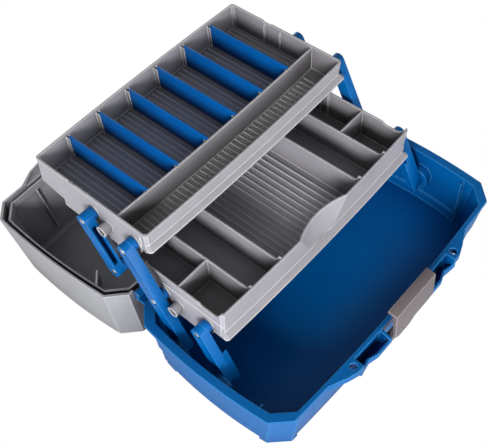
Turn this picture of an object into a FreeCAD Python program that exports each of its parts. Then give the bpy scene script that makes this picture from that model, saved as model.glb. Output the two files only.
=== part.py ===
import FreeCAD, Part
import math
import os
import Sketcher

os.makedirs("parts", exist_ok=True)
doc = FreeCAD.newDocument("TackleBox")

# Two-tray cantilever tackle box, open. X is its length, the latch side is -Y and +Z is up.
# The origin is under the middle of the base, on the surface that it stands on.
VALUES = {
    # base
    "rim_height": 84.0, "base_wall": 2.5, "foot_height": 9.0, "base_floor": 2.5,
    "mouth_half_length": 174.5, "mouth_front": 94.4, "mouth_rear": 94.5,
    "corner_along": 18.0, "corner_across": 18.6, "side_bow": 5.0, "front_bow": 4.8,
    "side_draft": 1.5, "front_draft": 9.5, "rear_draft": 4.0,
    "flange_side": 9.1, "flange_front": 4.2, "flange_rear": 7.0, "flange_thick": 4.0,
    "panel_raise": 1.3, "panel_bottom": 36.0,
    "foot_along": 26.0, "foot_across": 26.0, "foot_inset": 1.0, "pad_radius": 20.0,
    "boss_radius": 13.5, "boss_gap": 0.4, "wall_rib_place": 62.0, "wall_rib_thick": 2.0,
    "wall_rib_out": 4.0, "ledge_height": 15.0, "ledge_wide": 1.6, "ledge_end": 72.0,
    "lug_wide_out": 124.0, "lug_knee": 99.0, "lug_knee_reach": 110.1, "lug_flat_out": 88.0,
    "lug_reach": 114.0, "lug_flat_in": 79.0, "lug_thick": 9.0,
    "lock_hole_place": 86.8, "lock_hole_reach": 106.6, "lock_hole_radius": 4.0,
    "bridge_out": 66.0, "bridge_out_reach": 111.0, "bridge_in": 55.0, "bridge_reach": 115.0,
    "bridge_top": 73.0, "bridge_bottom": 67.0, "bridge_wall": 2.5, "bridge_end": 82.0,
    "bridge_low": 50.0,
    "cheek_thick": 3.0, "cheek_gap": 0.4, "cheek_top": 76.0, "cheek_reach": 114.6,
    "cheek_bottom": 61.0,
    # hinge of the lid
    "hinge_y": 112.5, "hinge_z": 88.2, "hinge_pin_radius": 2.0, "pin_clearance": 0.05,
    "knuckle_radius": 4.0, "knuckle_length": 12.0, "knuckle_gap": 0.5, "knuckle_place": 146.0,
    "notch_gap": 1.0, "tab_thick": 3.0, "tab_drop": 7.6,
    # lid, in the place that it has when it is shut
    "lid_gap": 1.0, "lid_height": 77.3, "lid_wall": 2.2, "lid_half_length": 189.6,
    "lid_front": 103.8, "lid_rear": 110.0, "lid_bow": 3.6, "skirt_drop": 3.0,
    "lid_side_draft": 2.6, "lid_front_draft": 24.3, "lid_rear_draft": 3.0, "roof_round": 5.0,
    "ring_half_length": 183.4, "ring_front": 97.2, "ring_rear": 103.4, "ring_wall": 1.8,
    "groove_depth": 8.0, "open_angle": 184.5,
    "ear_start": 143.0, "ear_knee": 121.0, "ear_knee_reach": 115.5, "ear_flat": 106.0,
    "ear_reach": 118.6, "ear_flat_in": 60.0, "ear_end": 52.0, "ear_thick": 4.0,
    "catch_half_length": 30.0, "catch_reach": 103.4, "catch_top": 110.6, "latch_flat": 106.4,
    "lid_rib_thick": 1.5, "lid_rib_height": 2.5, "lid_rib_pitch": 37.0,
    "corner_web_side": 30.0, "corner_web_across": 14.0, "corner_web_along": 14.6,
    "corner_web_depth": 20.0,
    "recess_half_length": 78.0, "recess_front": 48.0, "recess_rear": 16.0, "recess_depth": 4.5,
    # carry handle, folded into the roof
    "grip_depth": 16.0, "grip_thick": 5.0, "grip_fold": 44.0, "socket_raise": 1.2,
    "handle_arm_wide": 12.0, "handle_pin_y": 8.0, "handle_pin_radius": 1.8,
    "handle_pin_length": 9.0, "handle_gap": 0.5,
    # arms
    "pitch": 67.0, "lean": 26.0, "front_pivot_y": -8.7, "long_pivot_y": 49.8, "pivot_z": 53.0,
    "rear_pin_pitch": 57.0, "arm_inside": 157.5, "arm_outside": 168.0, "arm_radius": 7.2,
    "arm_wall": 2.2, "pin_radius": 3.0, "pin_head_radius": 3.6, "pin_head_height": 1.3,
    "sink_radius": 4.7, "sink_depth": 1.2, "hub_start": 152.6,
    "head_gap": 0.3, "foot_block_reach": 5.7, "foot_block_top": 33.5, "foot_block_low": 6.6,
    "foot_block_round": 2.0,
    # trays
    "tray_half_length": 150.0, "tray_depth": 159.4, "tray_wall": 2.0, "tray_corner": 2.5,
    "tray_end_draft": 1.2, "tray_front_draft": 4.0, "tray_rear_draft": 2.5,
    "lip_reach": 4.0, "lip_rise": 3.6, "lip_edge": 1.6, "lip_end_reach": 1.2,
    "upper_height": 32.4, "upper_front_bow": 2.8, "upper_rear_bow": 2.2,
    "upper_pin_drop": 18.5, "upper_front_to_pin": 17.0, "upper_lip_drop": 23.4,
    "long_divider_place": 40.0, "long_divider_bow": 3.0, "long_divider_drop": 2.0,
    "divider_pitch": 43.0, "divider_thick": 2.2, "divider_gap": 0.3, "divider_drop": 1.0,
    "guide_wide": 1.2, "guide_out": 1.6, "rib_height": 1.0, "rib_wide": 1.6, "rib_pitch": 6.8,
    "fine_rib_height": 0.6, "fine_rib_wide": 0.9, "lower_rib_pitch": 7.9,
    "end_rib_out": 1.2, "end_rib_wide": 1.8, "upper_end_rib": 199.0, "upper_end_rib_front": 176.0,
    "lower_end_rib": 105.5, "lower_end_rib_rear": 116.0,
    "rim_notch_front": 191.0, "rim_notch_rear": 202.0, "rim_notch_depth": 1.4,
    "lower_height": 45.7, "lower_front_bow": 3.0, "lower_rear_bow": 2.2,
    "lower_pin_drop": 32.5, "lower_front_to_pin": 20.7, "lower_lip_drop": 41.5,
    "wall_drop": 8.2, "dip_drop": 2.4, "dip_length": 29.0, "post_wide": 3.4,
    "cross_place": 58.8, "scoop_half_length": 38.0, "scoop_depth": 9.0, "scoop_rise": 9.0,
    "skirt_wall": 2.0, "skirt_reach": 3.6, "tray_boss_radius": 6.5, "knob_radius": 6.4,
    "knob_forward": 19.05, "knob_below": 7.2, "knob_end": 162.0, "knob_wall": 1.9, "knob_deep": 4.5,
    "upper_skirt_top": 4.0, "upper_skirt_drop": 44.7, "upper_skirt_jog": 8.8,
    "upper_jog_place": 122.4, "upper_skirt_start": 9.0, "upper_skirt_lead": 10.0,
    "upper_skirt_shallow": 29.6, "upper_skirt_end": 156.0, "upper_skirt_rear_drop": 30.6,
    "lower_skirt_top": 22.5, "lower_skirt_drop": 54.2, "lower_skirt_start": 4.0,
    "lower_skirt_shallow": 37.2, "lower_ear_start": 13.0, "lower_ear_drop": 44.2,
    "lower_ear_end": 29.0, "lower_deep_place": 37.0, "lower_deep_end": 44.0,
    "lower_deep_drop": 54.6, "lower_skirt_knee": 58.0, "lower_skirt_rise": 86.0,
    "lower_skirt_rear": 96.0, "lower_skirt_rear_drop": 40.0, "lower_skirt_end": 150.0,
    # latch, upright as photographed
    "latch_half_length": 32.7, "latch_pin_y": -110.5, "latch_pin_z": 70.0,
    "latch_pin_radius": 1.8, "barrel_radius": 4.4, "latch_wall": 3.0,
    "latch_height": 44.6, "latch_face_top": 5.8, "latch_face_low": 7.5, "latch_knee": 14.0,
    "hook_reach": 5.0, "hook_rise": 1.5, "latch_tail": 5.0,
    "face_bottom": 76.2, "face_chamfer": 6.0, "thumb_left": 31.0, "thumb_right": 1.0,
    "thumb_drop": 9.2,
    # one overrun for every cut
    "overrun": 2.0,
}
END_DIP_SHARES = [(0.0, 1.0), (0.06, 0.6), (0.16, 0.25), (0.3, 0.0), (0.89, 0.0), (1.0, 0.235)]
WALL_DIP_SHARES = [(0.0, 1.0), (0.04, 0.62), (0.09, 0.4), (0.15, 0.24), (1.0, 0.235)]
COMPARTMENT_SHARES = [-2.5, -1.5, 1.5, 2.5]
DIVIDER_SHARES = [-2.5, -1.5, -0.5, 0.5, 1.5, 2.5]

sheet = doc.addObject("Spreadsheet::Sheet", "Sizes")


class Size:
    """A number together with the sheet formula that gives it."""

    def __init__(self, number, formula):
        self.number = number
        self.formula = formula

    def __add__(self, other):
        other = as_size(other)
        return Size(self.number + other.number, "(%s + %s)" % (self.formula, other.formula))

    def __sub__(self, other):
        other = as_size(other)
        return Size(self.number - other.number, "(%s - %s)" % (self.formula, other.formula))

    def __mul__(self, other):
        other = as_size(other)
        return Size(self.number * other.number, "(%s * %s)" % (self.formula, other.formula))

    def __truediv__(self, other):
        other = as_size(other)
        return Size(self.number / other.number, "(%s / %s)" % (self.formula, other.formula))

    def __neg__(self):
        return Size(-self.number, "(0 - %s)" % self.formula)


def as_size(value):
    """Give a plain number the form of a Size."""
    return value if isinstance(value, Size) else Size(float(value), repr(float(value)))


def sine(angle):
    return Size(math.sin(math.radians(angle.number)), "sin(%s)" % angle.formula)


def cosine(angle):
    return Size(math.cos(math.radians(angle.number)), "cos(%s)" % angle.formula)


def arctangent(rise, run):
    ratio = as_size(rise) / run
    return Size(math.degrees(math.atan(ratio.number)), "(atan(%s) / 1 deg)" % ratio.formula)


class Sizes:
    """The named sizes as attributes."""


v = Sizes()
for row, (name, number) in enumerate(VALUES.items(), 1):
    sheet.set("A%d" % row, name)
    sheet.set("B%d" % row, str(number))
    sheet.setAlias("B%d" % row, name)
    setattr(v, name, Size(number, "Sizes." + name))
doc.recompute()

nodes = []


def bind(item, path, value):
    """Tie one property of an object to its formula."""
    item.setExpression(path, as_size(value).formula)


def place(item, x=0, y=0, z=0):
    """Move an object to a point given by sizes."""
    for axis, value in zip("xyz", (x, y, z)):
        bind(item, "Placement.Base." + axis, value)
    return item


def turn(item, axis, angle):
    """Turn an object about an axis through its own origin."""
    item.Placement.Rotation = FreeCAD.Rotation(FreeCAD.Vector(*axis), as_size(angle).number)
    bind(item, "Placement.Rotation.Angle", angle)
    return item


def box(name, x1, x2, y1, y2, z1, z2):
    """A box between two corners."""
    item = doc.addObject("Part::Box", name)
    bind(item, "Length", as_size(x2) - x1)
    bind(item, "Width", as_size(y2) - y1)
    bind(item, "Height", as_size(z2) - z1)
    return place(item, x1, y1, z1)


def post(name, radius, x, y, z1, z2):
    """A round post along Z."""
    item = doc.addObject("Part::Cylinder", name)
    bind(item, "Radius", radius)
    bind(item, "Height", as_size(z2) - z1)
    return place(item, x, y, z1)


def rod(name, radius, x1, x2, y, z):
    """A round rod along X."""
    item = doc.addObject("Part::Cylinder", name)
    bind(item, "Radius", radius)
    bind(item, "Height", as_size(x2) - x1)
    item.Placement.Rotation = FreeCAD.Rotation(FreeCAD.Vector(0, 1, 0), 90)
    return place(item, x1, y, z)


def join(name, parts):
    item = doc.addObject("Part::MultiFuse", name)
    item.Shapes = parts
    return item


def cut(name, base, tool):
    item = doc.addObject("Part::Cut", name)
    item.Base = base
    item.Tool = tool
    return item


def common(name, first, second):
    item = doc.addObject("Part::Common", name)
    item.Base = first
    item.Tool = second
    return item


def mirrored(name, source):
    """The same shape on the other side of the box's middle plane."""
    item = doc.addObject("Part::Mirroring", name)
    item.Source = source
    item.Normal = FreeCAD.Vector(1, 0, 0)
    return item


def both_sides(name, source):
    return join(name, [source, mirrored(name + "_other", source)])


def group(name, parts):
    item = doc.addObject("Part::Compound", name)
    item.Links = parts
    return item


def sketch(name, corners, plane="XY", level=0):
    """A closed outline through corners (x, y, bow): bow is how far the edge that follows swells.

    A bow below zero goes inwards.
    """
    item = doc.addObject("Sketcher::SketchObject", name)
    if plane == "XY":
        place(item, 0, 0, level)
    elif plane == "XZ":
        turns = FreeCAD.Rotation(FreeCAD.Vector(1, 0, 0), 90)
        item.Placement = FreeCAD.Placement(FreeCAD.Vector(0, 0, 0), turns)
        place(item, 0, level, 0)
    else:
        turns = FreeCAD.Rotation(FreeCAD.Vector(1, 1, 1), 120)
        item.Placement = FreeCAD.Placement(FreeCAD.Vector(0, 0, 0), turns)
        place(item, level, 0, 0)
    points = [(as_size(c[0]), as_size(c[1])) for c in corners]
    flat = [FreeCAD.Vector(p[0].number, p[1].number, 0) for p in points]
    centre = sum(flat, FreeCAD.Vector(0, 0, 0)) * (1.0 / len(flat))
    ends = []
    for i, corner in enumerate(corners):
        a = flat[i]
        b = flat[(i + 1) % len(flat)]
        bow = corner[2] if len(corner) > 2 else None
        if bow is None:
            edge = item.addGeometry(Part.LineSegment(a, b))
            ends.append((edge, 1, 2))
            continue
        middle = (a + b) * 0.5
        side = FreeCAD.Vector(b.y - a.y, a.x - b.x, 0).normalize()
        if side.dot(middle - centre) < 0:
            side = side * -1.0
        edge = item.addGeometry(Part.Arc(a, middle + side * bow.number, b))
        starts_here = item.getPoint(edge, 1).distanceToPoint(a) < item.getPoint(edge, 2).distanceToPoint(a)
        ends.append((edge, 1, 2) if starts_here else (edge, 2, 1))
    for i, (edge, start, end) in enumerate(ends):
        after = ends[(i + 1) % len(ends)]
        item.addConstraint(Sketcher.Constraint("Coincident", edge, end, after[0], after[1]))
    for i, (edge, start, end) in enumerate(ends):
        for kind, value in (("DistanceX", points[i][0]), ("DistanceY", points[i][1])):
            spot = item.addConstraint(Sketcher.Constraint(kind, -1, 1, edge, start, value.number))
            bind(item, "Constraints[%d]" % spot, value)
        bow = corners[i][2] if len(corners[i]) > 2 else None
        if bow is not None:
            other = points[(i + 1) % len(points)]
            across = other[0] - points[i][0]
            along = other[1] - points[i][1]
            swell = bow if bow.number > 0 else -bow
            radius = ((across * across + along * along) / 4 + swell * swell) / (swell * 2)
            spot = item.addConstraint(Sketcher.Constraint("Radius", edge, radius.number))
            bind(item, "Constraints[%d]" % spot, radius)
    return item


def outline(name, level, half, front, rear, cx, cy, side=None, fore=None, aft=None):
    """A long outline with cut corners and swelling sides. front and rear are places along Y."""
    half = as_size(half)
    front = as_size(front)
    rear = as_size(rear)
    corners = [(cx - half, front, fore), (half - cx, front, None), (half, front + cy, side),
               (half, rear - cy, None), (half - cx, rear, aft), (cx - half, rear, None),
               (-half, rear - cy, side), (-half, front + cy, None)]
    return sketch(name, corners, "XY", level)


def stack(name, sections):
    """A solid through outlines that lie above each other."""
    item = doc.addObject("Part::Loft", name)
    item.Sections = sections
    item.Solid = True
    item.Ruled = True
    return item


def raised(name, profile, height):
    """A flat outline given a height along Z."""
    item = doc.addObject("Part::Extrusion", name)
    item.Base = profile
    item.DirMode = "Custom"
    item.Dir = FreeCAD.Vector(0, 0, 1)
    item.Solid = True
    bind(item, "LengthFwd", height)
    return item


def drawn(name, corners, x1, x2):
    """An outline in the plane of Y and Z, drawn along X."""
    profile = sketch(name + "_outline", corners, "YZ", x1)
    item = doc.addObject("Part::Extrusion", name)
    item.Base = profile
    item.DirMode = "Custom"
    item.Dir = FreeCAD.Vector(1, 0, 0)
    item.Solid = True
    bind(item, "LengthFwd", as_size(x2) - x1)
    return item


def drawn_back(name, corners, y1, y2):
    """An outline in the plane of X and Z, drawn along Y."""
    profile = sketch(name + "_outline", corners, "XZ", y1)
    item = doc.addObject("Part::Extrusion", name)
    item.Base = profile
    item.DirMode = "Custom"
    item.Dir = FreeCAD.Vector(0, 1, 0)
    item.Solid = True
    bind(item, "LengthFwd", as_size(y2) - y1)
    return item


def keep(label, item):
    """Name a finished piece."""
    item.Label = label
    nodes.append(item)
    return item


def pin(name, x1, x2, y, z, head):
    """A pin along X with a domed head beyond x2."""
    shaft = rod(name + "_shaft", v.pin_radius, x1, x2, y, z)
    plate = rod(name + "_plate", v.pin_head_radius, x2, as_size(x2) + head * 0.6, y, z)
    dome = doc.addObject("Part::Cone", name + "_dome")
    bind(dome, "Radius1", v.pin_head_radius)
    bind(dome, "Radius2", v.pin_head_radius * 0.6)
    bind(dome, "Height", head * 0.4)
    dome.Placement.Rotation = FreeCAD.Rotation(FreeCAD.Vector(0, 1, 0), 90)
    place(dome, as_size(x2) + head * 0.6, y, z)
    return join(name, [shaft, plate, dome])


# Places of the pins, all worked out from the arms.
step_y = v.pitch * sine(v.lean)
step_z = v.pitch * cosine(v.lean)
low_pin_z = v.pivot_z + step_z
up_pin_z = low_pin_z + step_z
low_front_pin = v.front_pivot_y + step_y
low_long_pin = v.long_pivot_y + step_y
low_rear_pin = low_long_pin + v.rear_pin_pitch
up_long_pin = low_long_pin + step_y
up_rear_pin = low_rear_pin + step_y
bore = v.pin_radius + v.pin_clearance


def base_outline(name, level, grow, drop, side_grow=0):
    """The base's outline at a level: grow is outwards, drop is 0 at the rim and 1 at the floor."""
    half = v.mouth_half_length + grow + side_grow - v.side_draft * drop
    front = -(v.mouth_front + grow - v.front_draft * drop)
    rear = v.mouth_rear + grow - v.rear_draft * drop
    return outline(name, level, half, front, rear, v.corner_along, v.corner_across,
                   v.side_bow, v.front_bow, v.front_bow * 0.4)


def make_base():
    """The blue base: a drafted tub with a flange, lugs, latch housing, bosses and feet."""
    hull = stack("hull", [base_outline("hull_low", v.foot_height, v.base_wall, 1),
                          base_outline("hull_rim", v.rim_height, v.base_wall, 0)])
    flange_low = v.rim_height - v.flange_thick
    half = v.mouth_half_length + v.flange_side
    flange = raised("flange", outline("flange_plan", flange_low, half,
                                      -(v.mouth_front + v.flange_front),
                                      v.mouth_rear + v.flange_rear, v.corner_along,
                                      v.corner_across, v.side_bow, v.front_bow,
                                      v.front_bow * 0.4), v.flange_thick)
    share = (v.rim_height - v.panel_bottom) / (v.rim_height - v.foot_height)
    panel = stack("panel", [base_outline("panel_low", v.panel_bottom, v.base_wall + v.panel_raise,
                                         share),
                            base_outline("panel_top", flange_low, v.base_wall + v.panel_raise, 0)])
    # four feet, left over from a plate with a cross cut out of it
    plate = raised("foot_plate", base_outline("foot_plan", 0, v.base_wall - v.foot_inset, 1),
                   v.foot_height + v.base_floor / 2)
    reach = v.mouth_half_length * 2
    half = v.mouth_half_length - v.foot_along
    lengthwise = box("cross_x", -half, half, -reach, reach, -v.overrun, v.foot_height)
    across = v.mouth_front - v.front_draft - v.foot_across
    crosswise = box("cross_y", -reach, reach, -across, across, -v.overrun, v.foot_height)
    feet = cut("feet", cut("feet_x", plate, lengthwise), crosswise)
    pad = post("middle_pad", v.pad_radius, 0, 0, 0, v.foot_height + v.base_floor / 2)
    # padlock lugs and the housing wall in front
    inner_y = -(v.mouth_front + v.base_wall / 2)
    lug_plan = sketch("lug_plan", [(v.lug_wide_out, inner_y), (v.lug_wide_out, -(v.mouth_front
                      + v.flange_front)), (v.lug_knee, -v.lug_knee_reach),
                      (v.lug_flat_out, -v.lug_reach), (v.lug_flat_in, -v.lug_reach),
                      (v.lug_flat_in, inner_y)], "XY", v.rim_height - v.lug_thick)
    lug = raised("lug", lug_plan, v.lug_thick)
    cheek_in = v.latch_half_length + v.cheek_gap
    wall = v.bridge_wall
    bridge_plan = sketch("bridge_plan", [
        (v.bridge_end, -v.lug_reach), (v.bridge_out, -v.bridge_out_reach),
        (v.bridge_in, -v.bridge_reach), (cheek_in, -v.bridge_reach), (cheek_in, inner_y),
        (v.bridge_end, inner_y)], "XY", v.bridge_low)
    bridge = raised("bridge", bridge_plan, v.bridge_top - v.bridge_low)
    bridge_root = box("bridge_root", v.lug_flat_in, v.bridge_end, -v.lug_reach, inner_y,
                      v.bridge_bottom, v.rim_height - v.lug_thick / 2)
    # the pocket's floor slopes down from the bridge to the front wall
    far = v.bridge_reach * 2
    below = v.bridge_low - v.overrun
    under = drawn("bridge_under", [(-far, v.bridge_bottom), (-v.bridge_reach, v.bridge_bottom),
                                   (inner_y, v.bridge_low), (inner_y, below), (-far, below)],
                  0, v.lug_flat_out)
    over = drawn("bridge_over", [(-far, v.bridge_bottom + wall),
                                 (-v.bridge_reach, v.bridge_bottom + wall),
                                 (inner_y, v.bridge_low + wall), (inner_y, v.rim_height),
                                 (-far, v.rim_height)], 0, v.lug_flat_out)
    pocket_rear = -(v.mouth_front + v.base_wall + wall / 2)
    pocket_plan = sketch("pocket_plan", [
        (v.lug_flat_in, wall - v.lug_reach), (v.bridge_out + wall / 2, wall - v.bridge_out_reach),
        (v.bridge_in + wall / 2, wall - v.bridge_reach),
        (cheek_in + v.cheek_thick, wall - v.bridge_reach),
        (cheek_in + v.cheek_thick, pocket_rear), (v.lug_flat_in, pocket_rear)],
        "XY", below)
    pocket = common("pocket", raised("pocket_block", pocket_plan, v.rim_height), over)
    cheek = drawn("cheek", [(inner_y, v.cheek_bottom), (inner_y, v.rim_height - v.flange_thick / 2),
                            (-v.bridge_out_reach, v.cheek_top),
                            (-v.cheek_reach, v.latch_pin_z + v.barrel_radius),
                            (-v.cheek_reach, v.latch_pin_z - v.barrel_radius),
                            (-v.bridge_out_reach, v.cheek_bottom)],
                  cheek_in, cheek_in + v.cheek_thick)
    bridge = cut("bridge_sloped", cut("bridge_hollow", bridge, pocket), under)
    front_end = join("front_half", [bridge, bridge_root, lug, cheek])
    # knuckles on tabs for the lid's hinge
    knuckles = []
    for i, side in enumerate((-1, 1)):
        middle = v.knuckle_place + (v.knuckle_length + v.knuckle_gap) * side
        low = middle - v.knuckle_length / 2
        high = middle + v.knuckle_length / 2
        tab_top = v.hinge_z - v.tab_drop
        tab = box("tab_%d" % i, low, high, v.mouth_rear, v.hinge_y + v.knuckle_radius,
                  tab_top - v.tab_thick, tab_top)
        riser = box("riser_%d" % i, low, high, v.hinge_y, v.hinge_y + v.knuckle_radius,
                    tab_top - v.tab_thick, v.hinge_z)
        barrel = rod("base_barrel_%d" % i, v.knuckle_radius, low, high, v.hinge_y, v.hinge_z)
        knuckles += [tab, riser, barrel]
    right = join("right_fittings", [front_end] + knuckles)
    fittings = both_sides("fittings", right)
    outside = join("base_outside", [hull, flange, panel, feet, pad, fittings])
    low = v.foot_height + v.base_floor
    share = v.base_floor / (v.rim_height - v.foot_height)
    cavity = stack("cavity", [base_outline("cavity_low", low, 0, as_size(1) - share),
                              base_outline("cavity_mid", v.rim_height, 0, 0),
                              base_outline("cavity_top", v.rim_height + v.overrun, 0, 0)])
    shell = cut("base_hollow", outside, cavity)
    # pivot bosses, an upright rib and a low ledge inside each end wall
    start = v.arm_outside + v.boss_gap
    out = v.mouth_half_length + v.flange_side
    bosses = [rod("boss_front", v.boss_radius, start, out, v.front_pivot_y, v.pivot_z),
              rod("boss_long", v.boss_radius, start, out, v.long_pivot_y, v.pivot_z),
              box("wall_rib", v.mouth_half_length - v.wall_rib_out, out,
                  -v.wall_rib_place - v.wall_rib_thick, -v.wall_rib_place, v.foot_height,
                  v.rim_height - v.flange_thick)]
    ledge = cut("ledge_ring", raised("ledge_block", base_outline("ledge_out", v.foot_height,
                                                                 v.base_wall / 2, 1),
                                     v.ledge_height),
                raised("ledge_hole", base_outline("ledge_in", v.foot_height - v.overrun,
                                                  -v.ledge_wide, 1),
                       v.ledge_height + v.overrun * 2))
    bosses.append(common("ledge", ledge, box("ledge_reach", v.mouth_half_length - v.corner_along,
                                             out, -v.wall_rib_place, v.ledge_end, v.foot_height,
                                             v.rim_height)))
    inside = common("inside_trim", both_sides("inside", join("inside_right", bosses)), hull)
    solid = join("base_solid", [shell, inside])
    # bores
    far = v.mouth_half_length - v.side_draft
    bores = [post("lock_bore", v.lock_hole_radius, v.lock_hole_place, -v.lock_hole_reach,
                  v.rim_height - v.lug_thick - v.overrun, v.rim_height + v.overrun),
             rod("front_bore", bore, start - v.overrun, far, v.front_pivot_y, v.pivot_z),
             rod("long_bore", bore, start - v.overrun, far, v.long_pivot_y, v.pivot_z),
             rod("latch_bore", v.latch_pin_radius + v.pin_clearance, cheek_in - v.overrun,
                 cheek_in + v.cheek_thick, v.latch_pin_y, v.latch_pin_z),
             rod("hinge_bore", v.hinge_pin_radius + v.pin_clearance,
                 v.knuckle_place - v.knuckle_length * 2, v.knuckle_place + v.knuckle_length * 2,
                 v.hinge_y, v.hinge_z)]
    return keep("base_shell", cut("base", solid, both_sides("bores", join("bores_right", bores))))


def make_lid():
    """The lid, drawn shut about its hinge line and then swung open."""
    rim = v.rim_height + v.lid_gap - v.hinge_z
    roof = rim + v.lid_height
    skirt = rim - v.skirt_drop

    def plan(name, level, inset, drop):
        return outline(name, level, v.lid_half_length - inset - v.lid_side_draft * drop,
                       -(v.lid_front + v.hinge_y - inset - v.lid_front_draft * drop),
                       v.lid_rear - v.hinge_y - inset - v.lid_rear_draft * drop,
                       v.corner_along, v.corner_across, v.lid_bow, v.lid_bow, None)

    share = as_size(1) - v.roof_round / v.lid_height
    outside = stack("lid_outside", [plan("lid_skirt", skirt, 0, 0), plan("lid_rim", rim, 0, 0),
                                    plan("lid_shoulder", roof - v.roof_round, 0, share),
                                    plan("lid_roof", roof, v.roof_round, share)])
    wall = v.lid_wall
    inside = stack("lid_inside", [plan("lid_in_low", skirt - v.overrun, wall, 0),
                                  plan("lid_in_rim", rim, wall, 0),
                                  plan("lid_in_shoulder", roof - v.roof_round, wall, share),
                                  plan("lid_in_roof", roof - wall, v.roof_round, share)])
    # ears with the padlock holes, and the catch under the latch
    ear = sketch("ear_plan", [(v.ear_start, -(v.lid_front + v.hinge_y + v.lid_bow * 0.1)),
                              (v.ear_knee, -(v.ear_knee_reach + v.hinge_y)),
                              (v.ear_flat, -(v.ear_reach + v.hinge_y)),
                              (v.ear_flat_in, -(v.ear_reach + v.hinge_y)),
                              (v.ear_end, -(v.lid_front + v.hinge_y + v.lid_bow * 0.6))],
                 "XY", skirt)
    ear_in = sketch("ear_hollow_plan", [
        (v.ear_start - wall * 2, -(v.lid_front + v.hinge_y - wall)),
        (v.ear_knee - wall / 2, -(v.ear_knee_reach + v.hinge_y - wall)),
        (v.ear_flat, -(v.ear_reach + v.hinge_y - wall)),
        (v.ear_flat_in + wall, -(v.ear_reach + v.hinge_y - wall)),
        (v.ear_end + wall * 2, -(v.lid_front + v.hinge_y - wall))], "XY", skirt - v.overrun)
    ears = both_sides("ears", raised("ear_block", ear, v.skirt_drop + v.ear_thick))
    ear_hollow = raised("ear_hollow", ear_in, v.skirt_drop + v.overrun)
    catch = box("catch", -v.catch_half_length, v.catch_half_length,
                -(v.catch_reach + v.hinge_y), -(v.lid_front + v.hinge_y - v.lid_front_draft * 0.7),
                rim + v.ear_thick, v.catch_top - v.hinge_z)
    # knuckles, and notches where the base's knuckles stand
    barrel = rod("lid_barrel", v.knuckle_radius, v.knuckle_place - v.knuckle_length / 2,
                 v.knuckle_place + v.knuckle_length / 2, 0, 0)
    root = box("lid_root", v.knuckle_place - v.knuckle_length / 2,
               v.knuckle_place + v.knuckle_length / 2, v.lid_rear - v.hinge_y - wall,
               0, 0, v.knuckle_radius * 2)
    hinge_half = both_sides("lid_knuckles", join("lid_knuckle", [barrel, root]))
    # roof with its shallow recess
    edge = v.lid_wall
    pan = box("recess_pan", -(v.recess_half_length + edge), v.recess_half_length + edge,
              -(v.recess_front + edge + v.hinge_y), v.recess_rear + edge - v.hinge_y,
              roof - v.recess_depth - edge, roof - v.recess_depth / 2)
    recess = box("recess", -v.recess_half_length, v.recess_half_length,
                 -(v.recess_front + v.hinge_y), v.recess_rear - v.hinge_y,
                 roof - v.recess_depth, roof + v.overrun)
    shell = join("lid_shell_raw", [cut("lid_hollow", join("lid_full", [outside, catch]), inside),
                                   pan, ears, hinge_half])
    # inner ring that makes the groove
    def ring_plan(name, level, inset):
        return outline(name, level, v.ring_half_length - inset,
                       -(v.ring_front + v.hinge_y - inset),
                       v.ring_rear - v.hinge_y - inset, v.corner_along, v.corner_across,
                       v.lid_bow, v.lid_bow, None)

    web_thick = v.ring_wall
    ring_block = raised("ring_block", ring_plan("ring_out", rim, 0), v.groove_depth + web_thick)
    web_block = common("web_trim", raised("web_block", plan("web_out", rim + v.groove_depth,
                                                            0, 0), web_thick), outside)
    ring_hole = raised("ring_hole", ring_plan("ring_in", rim - v.overrun, v.ring_wall),
                       v.groove_depth + web_thick + v.overrun * 2)
    ring = cut("ring", join("ring_full", [ring_block, web_block]), ring_hole)
    # ribs up the sloping front wall
    slope = arctangent(v.lid_front_draft, v.lid_height)
    ribs = []
    for i in range(3):
        rib = doc.addObject("Part::Box", "lid_rib_%d" % i)
        bind(rib, "Length", v.lid_rib_thick)
        bind(rib, "Width", v.lid_rib_height + wall / 2)
        bind(rib, "Height", v.lid_height - v.roof_round * 2 - v.groove_depth)
        turn(rib, (1, 0, 0), -slope)
        place(rib, v.lid_rib_pitch * (i + 1.5), -(v.lid_front + v.hinge_y - wall / 2
              - v.lid_front_draft * (v.groove_depth / v.lid_height)), rim + v.groove_depth)
        ribs.append(rib)
    # slanting web near each hinge corner
    x1 = v.ring_half_length
    x2 = x1 - v.corner_web_across
    y1 = v.ring_rear - v.hinge_y
    y2 = y1 - v.corner_web_side
    y3 = y2 - v.corner_web_along
    web_plan = sketch("corner_plan", [(x1, y2), (x1, y2 - v.ring_wall * 1.5),
                                      (x2, y3 - v.ring_wall * 1.5), (x2, y3)], "XY", rim)
    corner = join("corner_web", [raised("corner_strip", web_plan, v.corner_web_depth),
                                 box("corner_root", x1 - v.ring_wall, v.lid_half_length,
                                     y2 - v.ring_wall * 1.5, y2, rim + v.groove_depth,
                                     rim + v.corner_web_depth)])
    inner = both_sides("lid_inner", join("lid_inner_right", ribs + [corner]))
    full = join("lid_solid", [shell, ring, inner])
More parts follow.
